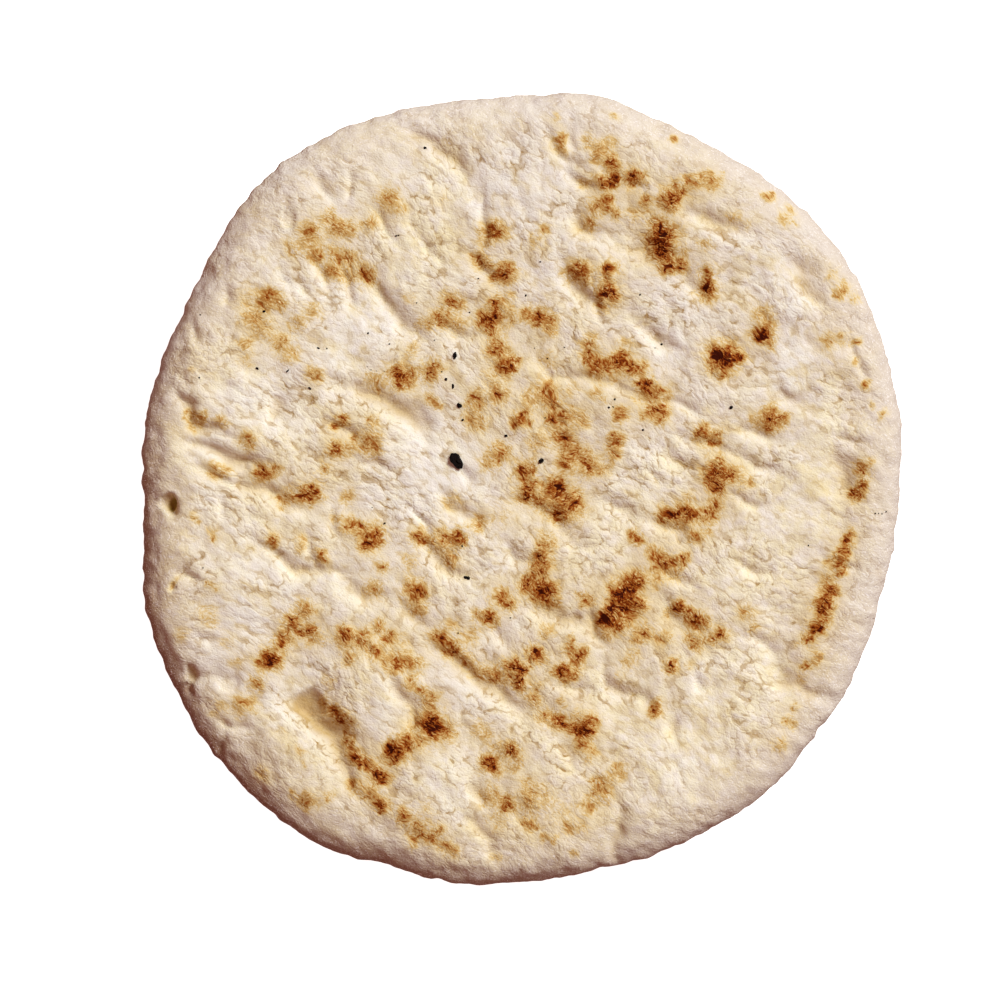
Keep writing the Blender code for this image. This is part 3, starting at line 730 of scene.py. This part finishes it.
def fold_depth(places, half_width, depth, route):
    """How deep one fold is at each place, fading out towards its ends."""
    route = np.array(route, float)
    spans = np.linalg.norm(np.diff(route, axis=0), axis=1)
    reached = np.concatenate([[0], np.cumsum(spans)])
    nearest = np.full(len(places), 1e9)
    along = np.zeros(len(places))
    for start, end, span, before in zip(route, route[1:], spans, reached):
        share = np.clip((places - start) @ (end - start) / span**2, 0, 1)
        gap = np.linalg.norm(places - start - share[:, None] * (end - start), axis=1)
        closer = gap < nearest
        nearest[closer] = gap[closer]
        along[closer] = before + share[closer] * span
    to_end = np.minimum(along, reached[-1] - along) / reached[-1]
    fade = FOLD_END + (1 - FOLD_END) * np.clip(to_end / FOLD_TAPER, 0, 1)
    return depth * fade * np.exp(-((nearest / half_width) ** FOLD_SHAPE))


def furrows(places):
    """The depth in millimetres of all folds and pits at each place."""
    total = np.zeros(len(places))
    for half_width, depth, route in FOLDS:
        low = np.min(route, axis=0) - FOLD_LIMIT * half_width
        high = np.max(route, axis=0) + FOLD_LIMIT * half_width
        near = ((places > low) & (places < high)).all(1)
        total[near] += fold_depth(places[near], half_width, depth, route)
    for x, y, reach, depth in PITS:
        share = np.hypot(places[:, 0] - x, places[:, 1] - y) / reach
        near = share < 1
        total[near] += depth * np.clip(PIT_STEEPNESS * (1 - share[near] ** 2), 0, 1)
    return total


def lay_marks(mesh):
    """Stores on the skin where it browned, where it is folded, and how near its edge is."""
    points = points_of(mesh)
    top = np.clip((points[:, 2] - TOP_START) / TOP_RISE, 0, 1)
    ragged = points[:, :2] + wandering(points, 2.6, 1.3) + wandering(points + 50, 1.1, 0.6)
    bent = points[:, :2] + wandering(points + 90, 5.0, 1.6)
    radii = np.hypot(points[:, 0], points[:, 1])
    turns = np.arctan2(points[:, 1], points[:, 0])
    degrees = np.round((turns + math.pi) / math.tau * 360).astype(int) % 360
    widest = np.zeros(360)
    np.maximum.at(widest, degrees, radii)
    from_edge = widest[degrees] - radii
    store(mesh, "dough", points, "FLOAT_VECTOR")
    store(mesh, "scorch", browning(ragged) * top)
    store(mesh, "warmth", warmth(bent) * top)
    store(mesh, "fold", furrows(bent) * top)
    store(mesh, "rim", np.clip(1 - from_edge / RIM_BAND, 0, 1))


# ---------------------------------------------------------------- the crust's relief, by Geometry Nodes


def new_tree(name, sizes):
    """A geometry tree with a named input for each size. Returns the tree, its inputs and their keys."""
    tree = bpy.data.node_groups.new(name, "GeometryNodeTree")
    sockets = tree.interface
    sockets.new_socket("Geometry", in_out="OUTPUT", socket_type="NodeSocketGeometry")
    sockets.new_socket("Geometry", in_out="INPUT", socket_type="NodeSocketGeometry")
    keys = {}
    for size in sizes:
        socket = sockets.new_socket(size, in_out="INPUT", socket_type="NodeSocketFloat")
        keys[size] = socket.identifier
    return tree, node(tree, "NodeGroupInput"), keys


def stored(tree, name, kind="FLOAT"):
    return node(tree, "GeometryNodeInputNamedAttribute", {"data_type": kind}, {"Name": name})


def scaled(vector, factor):
    return node(vector.tree, "ShaderNodeVectorMath", {"operation": "SCALE"}, {0: vector, "Scale": factor})


def moved(geometry, values):
    """The geometry with its points moved by an Offset or to a Position."""
    return node(geometry.tree, "GeometryNodeSetPosition", {}, {"Geometry": geometry, **values})


def finish_tree(tree, geometry, material):
    """Ends a tree with real geometry in one material."""
    real = node(tree, "GeometryNodeRealizeInstances", {}, {"Geometry": geometry})
    dressed = node(tree, "GeometryNodeSetMaterial", {}, {"Geometry": real, "Material": material})
    node(tree, "NodeGroupOutput", {}, {"Geometry": dressed})


def run_tree(name, mesh, tree, keys, sizes):
    """The plain mesh object that a tree makes from a mesh."""
    source = bpy.data.objects.new(name, mesh)
    bpy.context.scene.collection.objects.link(source)
    modifier = source.modifiers.new(name, "NODES")
    modifier.node_group = tree
    for size, value in sizes.items():
        modifier[keys[size]] = value
    source.data.update()
    evaluated = source.evaluated_get(bpy.context.evaluated_depsgraph_get())
    result = bpy.data.meshes.new_from_object(evaluated)
    result.name = name
    source.modifiers.remove(modifier)
    source.data = result
    return source


# Heights and depths of the crust's relief, in millimetres
RELIEF = {
    "Swell": 0.66,
    "Lump": 0.72,
    "Bobble": 0.22,
    "Crease": 0.24,
    "Rim lump": 0.75,
    "Rim growth": 0.25,
    "Grain": 0.08,
    "Blister": 0.30,
    "Fold": 1.75,
    "Slump": 1.7,
    "Underside": 0.5,
}


def relief_tree(material):
    """Raises and sinks the smooth skin."""
    tree, inputs, keys = new_tree("relief", RELIEF)
    place = stored(tree, "dough", "FLOAT_VECTOR")
    scorch, fold, rim = (stored(tree, name) for name in ("scorch", "fold", "rim"))
    calm = 1 - 0.5 * rim
    swell = cloud(along_grain(place, SWELL_STRETCH), 9.0, detail=1) - 0.5
    lump = cloud(place, 6.5, detail=2) - 0.5
    rim_lump = cloud(place, 4.2, detail=1) - 0.5
    domes = bobbles(kneaded(place), BOBBLE) - 0.6
    grain = cloud(place, 1.6, detail=2) - 0.5
    height = (
        2 * inputs.out("Swell") * swell * calm
        + 2 * inputs.out("Lump") * lump * (1 - 0.35 * rim)
        + (2 * inputs.out("Rim lump") * rim_lump + inputs.out("Rim growth")) * rim
        + inputs.out("Bobble") * domes * crinkled(place) * calm
        - inputs.out("Crease") * long_creases(place) * calm
        + 2 * inputs.out("Grain") * grain
        + inputs.out("Blister") * scorch
        - inputs.out("Fold") * fold
    )
    normal = node(tree, "GeometryNodeInputNormal")
    facing = node(tree, "ShaderNodeSeparateXYZ", {}, {0: normal}).out("Z")
    right = node(tree, "ShaderNodeSeparateXYZ", {}, {0: place})
    lopsided = 0.85 - 0.0085 * right + 0.001 * right.out("Y")  # the rim slumped most on the left
    slump = inputs.out("Slump") * lopsided * rim * rim * facing.clamped()
    under = facing.step(-0.3, -0.9)
    sunk = -1 * inputs.out("Underside") * (lump + 0.5 - 0.3 * domes).clamped()
    offset = (height - slump) * (1 - under) + sunk * under
    shaped = moved(inputs.out("Geometry"), {"Offset": scaled(normal, offset * MM)})
    above_floor = node(tree, "GeometryNodeInputPosition").vector("MAXIMUM", (-1.0, -1.0, 0.0))
    finish_tree(tree, moved(shaped, {"Position": above_floor}), material)
    return tree, keys


# ---------------------------------------------------------------- materials


def new_material(name):
    material = bpy.data.materials.new(name)
    material.use_nodes = True
    return material, material.node_tree, material.node_tree.nodes["Principled BSDF"]


def attribute(tree, name):
    return node(tree, "ShaderNodeAttribute", {"attribute_name": name}).out("Fac")


def link(wire, shader, name):
    wire.tree.links.new(wire.socket, shader.inputs[name])


CREAM = srgb(244, 241, 231)
BUTTER = srgb(243, 234, 203)
FLOUR = srgb(242, 235, 228)
# gold mottles, and painted shade between the lumps
GOLD_AND_RECESS_SHADE = srgb(229, 210, 156)
TAN = srgb(208, 183, 138)  # round the scorches
# brown pores, and painted shade in the creases between the lumps
CREASE_SHADE_AND_PORES = srgb(170, 134, 80)
RIND = srgb(215, 202, 188)  # the rim's plain crust
RIM_SHADE = srgb(150, 100, 74)  # painted shade on the rim's left and near side, away from the window
FLECK = srgb(250, 244, 238)  # grains of flour
# painted shade in the folds and pits
HOLLOW_SHADE = srgb(196, 164, 102)
DEEP_HOLLOW_SHADE = srgb(162, 134, 56)  # painted shade at the bottom of the deepest pits and folds near the rim
CHAR = srgb(12, 7, 7)
EMBER = srgb(58, 34, 26)  # the brown that shows through the burnt crumbs
BROWNING = (
    (0.00, srgb(242, 228, 200)),
    (0.14, srgb(231, 211, 163)),
    (0.28, srgb(213, 180, 117)),
    (0.44, srgb(186, 136, 71)),
    (0.62, srgb(156, 83, 22)),
    (0.80, srgb(116, 42, 5)),
    (1.00, srgb(58, 13, 2)),
)


def browned(toast):
    """The colour of crust that is toasted so far, from 0 to 1."""
    return node(toast.tree, "ShaderNodeValToRGB", {"stops": BROWNING}, {"Fac": toast})


class Crust:
    """The crust's colours and bumps, and the patterns that they share."""

    def __init__(self, tree):
        self.place = node(tree, "ShaderNodeAttribute", {"attribute_name": "dough"}).out("Vector")
        self.right = node(tree, "ShaderNodeSeparateXYZ", {}, {0: self.place})
        self.away = self.right.out("Y")
        self.scorch, self.warm, self.fold, self.rim = (
            attribute(tree, name) for name in ("scorch", "warmth", "fold", "rim")
        )
        self.dough = kneaded(self.place)
        self.domes = bobbles(self.dough, BOBBLE)
        self.small = bobbles(self.dough, 0.5 * BOBBLE)
        self.rough_patch = crinkled(self.place)
        self.coarse = cloud(self.dough, 2.6, detail=2)
        self.grit = cloud(self.dough, 0.65, detail=2, rough=0.65)
        self.fine = cloud(self.dough, 0.36, detail=1)
        # the creases between the lumps, where shade is painted and scorches darken
        self.creases_between_lumps = self.domes.step(0.32, 0.0) + 0.6 * self.small.step(0.32, 0.0)

    def dough_tone(self):
        """Cream and butter yellow, dusted with flour and streaked with gold along the grain, with gold
        painted into the low parts between the lumps as shade.
        """
        buttery = cloud(self.place, 24, detail=2) - 0.0008 * self.away + 0.10 * self.rim
        tone = blend_colours(buttery.step(0.33, 0.66), CREAM, BUTTER)
        powder = cloud(self.place, 4, detail=3, rough=0.6).step(0.38, 0.62)
        tone = blend_colours(powder * (0.35 + 0.3 * self.domes + 0.0015 * self.right), tone, FLOUR)
        golden = cloud(self.dough.plus((40, 0, 0)), 4.5, detail=3, rough=0.6).step(0.46, 0.70)
        # golden mottles are the crust's own colour; the second term is painted shade in the low parts
        # between the lumps
        gilded_and_shaded = 0.50 * golden + 0.3 * (1 - self.domes) * (1 - self.rim)
        return blend_colours(gilded_and_shaded, tone, GOLD_AND_RECESS_SHADE)

    def with_tan_and_crease_shade(self, tone):
        """Tan round the scorches and inside the rim, with brown pores and painted shade in the creases
        between the lumps.
        """
        warmed = self.warm * (0.5 + 0.8 * self.warm) * (2.1 * self.coarse - 0.30).clamped()
        tone = blend_colours(warmed + 0.6 * self.rim * (1 - self.rim), tone, TAN)
        # painted shade in the creases between the lumps, deeper near the scorches
        painted_crease_shade = self.creases_between_lumps * (0.55 * self.rough_patch + 0.5 * self.warm) * (1 - 0.5 * self.rim)
        pores = 0.2 * self.grit.step(0.42, 0.27)
        return blend_colours((painted_crease_shade + pores).clamped(), tone, CREASE_SHADE_AND_PORES)

    def with_rim(self, tone):
        """A pale rim on the right and painted shade on the left and near side, away from the window, dusted
        with flour.
        """
        rim = self.rim
        tone = blend_colours(rim * rim * (0.6 + 0.004 * self.right).clamped(), tone, RIND)
        left = (-0.0105 * self.right).clamped()
        # painted shade, strongest on the left and near side, away from the window
        painted_rim_shade = 0.26 * (left * rim) ** 2 - (0.004 * self.right + 0.0055 * self.away) * rim**5
        tone = blend_colours(painted_rim_shade.clamped(), tone, RIM_SHADE)
        return blend_colours(self.fine.step(0.56, 0.72) * (0.30 + 0.60 * rim), tone, FLECK)

    def with_hollow_shade(self, tone):
        # the folds and pits are painted darker as shade, and the deepest ones near the rim darker still
        tone = blend_colours(self.fold.step(0.2, 1.7) * 0.85, tone, HOLLOW_SHADE)
        return blend_colours(self.fold.step(1.1, 1.9) * self.rim.step(0.2, 0.4) * 0.85, tone, DEEP_HOLLOW_SHADE)

    def toast(self):
        """How far each place is toasted, speckled along the grain and most in the creases between the
        lumps.
        """
        speckle = 0.7 * self.grit + 1.1 * self.fine - 0.90
        scorched = self.scorch * (0.70 + 0.42 * self.coarse + 1.4 * speckle + 0.55 * self.creases_between_lumps)
        return scorched + 0.10 * speckle * self.warm.step(0.0, 0.4)

    def underside(self):
        """The colour of the side that lay on the hot plate, pale with brown spots."""
        spots = cloud(self.place, 11, detail=4, rough=0.6).step(0.50, 0.72)
        return browned(0.12 + 0.55 * spots * (0.4 + self.grit))

    def height(self):
        """The finest bumps, in millimetres: powder, grit, and wrinkles too small for the mesh."""
        dust = cloud(self.place, 0.45, detail=1)
        wrinkles = (0.08 * self.small + 0.06 * self.domes) * self.rough_patch
        return 0.04 * self.fine + 0.11 * dust + (0.07 + 0.08 * self.rim) * self.grit + wrinkles


def crust_material():
    material, tree, shader = new_material("baked_crust")
    crust = Crust(tree)
    tone = crust.with_hollow_shade(crust.with_rim(crust.with_tan_and_crease_shade(crust.dough_tone())))
    toast = crust.toast()
    colour = blend_colours(toast.step(0.0, 0.24), tone, browned(toast))
    geometry = node(tree, "ShaderNodeNewGeometry")
    facing = node(tree, "ShaderNodeSeparateXYZ", {}, {0: geometry.out("Normal")}).out("Z")
    colour = blend_colours(facing.step(-0.25, -0.75), colour, crust.underside())
    link(colour, shader, "Base Color")
    values = {"Strength": 1.0, "Distance": MM, "Height": crust.height()}
    link(node(tree, "ShaderNodeBump", {}, values), shader, "Normal")
    link(0.92 - 0.25 * toast.clamped(), shader, "Roughness")
    shader.inputs["Specular IOR Level"].default_value = 0.04
    return material


def burnt_material():
    material, tree, shader = new_material("burnt_crumb")
    place = node(tree, "ShaderNodeTexCoord").out("Object").times(IN_MILLIMETRES)
    ember = cloud(place, 0.35, detail=3).step(0.52, 0.78)
    link(blend_colours(ember, CHAR, EMBER), shader, "Base Color")
    values = {"Strength": 0.8, "Distance": 0.2 * MM, "Height": ember}
    link(node(tree, "ShaderNodeBump", {}, values), shader, "Normal")
    shader.inputs["Roughness"].default_value = 0.9
    shader.inputs["Specular IOR Level"].default_value = 0.15
    return material


# ---------------------------------------------------------------- crumbs

CRUMB_SHAPE = {"Jaggedness": 0.5}  # how far its points are pushed about, as a share of its size
CRUMB_THICKNESS = 0.55  # as a share of its width
CRUMB_LIFT = 0.22  # how high its middle lies over the crust, as a share of its thickness


def crumb_tree(material):
    """Sets a rough, angular crumb on each point, as long, wide and turned as the point says."""
    tree, inputs, keys = new_tree("crumbs", CRUMB_SHAPE)
    lump = node(tree, "GeometryNodeMeshIcoSphere", {}, {"Radius": 0.5, "Subdivisions": 2})
    size = stored(tree, "size", "FLOAT_VECTOR")
    values = {
        "Points": inputs.out("Geometry"),
        "Instance": lump,
        "Rotation": stored(tree, "turn", "FLOAT_VECTOR"),
        "Scale": size,
    }
    placed = node(tree, "GeometryNodeInstanceOnPoints", {}, values)
    real = node(tree, "GeometryNodeRealizeInstances", {}, {"Geometry": placed})
    place = node(tree, "GeometryNodeInputPosition").times(IN_MILLIMETRES)
    shove = cloud(place, 0.9, detail=2).out("Color").plus((-0.5, -0.5, -0.5))
    length = node(tree, "ShaderNodeVectorMath", {"operation": "LENGTH"}, {0: size}, "Value")
    jagged = moved(real, {"Offset": scaled(shove, inputs.out("Jaggedness") * length)})
    finish_tree(tree, jagged, material)
    return tree, keys


def burnt_crumbs(crust):
    """The burnt crumbs that stuck to the top."""
    surface = BVHTree.FromObject(crust, bpy.context.evaluated_depsgraph_get())
    points, sizes, turns = [], [], []
    for x, y, length, width, heading in BURNT_CRUMBS:
        hit = surface.ray_cast(Vector((x * MM, y * MM, 50 * MM)), Vector((0, 0, -1)))[0]
        thickness = CRUMB_THICKNESS * width * MM
        points.append(hit + Vector((0, 0, CRUMB_LIFT * thickness)))
        sizes.append((length * MM, width * MM, thickness))
        turns.append((0.0, 0.0, math.radians(heading)))
    mesh = bpy.data.meshes.new("burnt_crumbs")
    mesh.from_pydata([tuple(point) for point in points], [], [])
    store(mesh, "size", sizes, "FLOAT_VECTOR")
    store(mesh, "turn", turns, "FLOAT_VECTOR")
    tree, keys = crumb_tree(burnt_material())
    return run_tree("burnt_crumbs", mesh, tree, keys, CRUMB_SHAPE)


# ---------------------------------------------------------------- floor, light and camera

FLOOR_SIZE = 6.0
FLOOR_DROP = 0.2 * MM  # how far below the loaf the floor lies
ROOM_COLOUR = (1.0, 0.46, 0.385, 1.0)  # the warm light that fills the shadows
ROOM_STRENGTH = 0.27
WINDOW_COLOUR = (0.91, 1.0, 1.015)  # the cooler light that comes from one side
WINDOW_ENERGY = 3.43
WINDOW_WIDTH = math.radians(24)
WINDOW_HEADING = math.radians(42)  # from +X towards +Y
WINDOW_RISE = math.radians(44)
LENS = 150.0
VIEW_WIDTH = 250.0 * MM  # what the camera takes in at the waist's height
VIEW_MIDDLE = (-5.5 * MM, -2.96 * MM)


def make_floor():
    bpy.ops.mesh.primitive_plane_add(size=FLOOR_SIZE, location=(0, 0, -FLOOR_DROP))
    floor = bpy.context.active_object
    floor.name = "floor"
    material, _, shader = new_material("pale_floor")
    shader.inputs["Base Color"].default_value = srgb(250, 250, 250)
    shader.inputs["Roughness"].default_value = 0.9
    shader.inputs["Emission Color"].default_value = (1, 1, 1, 1)
    shader.inputs["Emission Strength"].default_value = 1.0
    floor.data.materials.append(material)
    floor.visible_diffuse = False


def make_light():
    world = bpy.data.worlds.new("studio")
    bpy.context.scene.world = world
    world.use_nodes = True
    background = world.node_tree.nodes["Background"]
    background.inputs["Color"].default_value = ROOM_COLOUR
    background.inputs["Strength"].default_value = ROOM_STRENGTH
    lamp = bpy.data.lights.new("window", "SUN")
    lamp.energy = WINDOW_ENERGY
    lamp.angle = WINDOW_WIDTH
    lamp.color = WINDOW_COLOUR
    window = bpy.data.objects.new("window", lamp)
    bpy.context.scene.collection.objects.link(window)
    level = math.cos(WINDOW_RISE)
    towards = Vector(
        (level * math.cos(WINDOW_HEADING), level * math.sin(WINDOW_HEADING), math.sin(WINDOW_RISE))
    )
    window.rotation_euler = towards.to_track_quat("Z", "Y").to_euler()


def make_camera():
    data = bpy.data.cameras.new("camera")
    data.lens = LENS
    camera = bpy.data.objects.new("camera", data)
    bpy.context.scene.collection.objects.link(camera)
    camera.location = (*VIEW_MIDDLE, WAIST + VIEW_WIDTH / data.sensor_width * LENS)
    bpy.context.scene.camera = camera


# ---------------------------------------------------------------- the whole

bpy.context.scene.view_settings.view_transform = "Standard"
skin = build_skin(smooth_frame(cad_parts["bread"]))
noise.seed_set(SEED)
lay_marks(skin)
tree, keys = relief_tree(crust_material())
crust = run_tree("crust", skin, tree, keys, RELIEF)
crumbs = burnt_crumbs(crust)
for piece in (crust, crumbs):
    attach(piece, "root")
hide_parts("bread")
make_floor()
make_light()
make_camera()
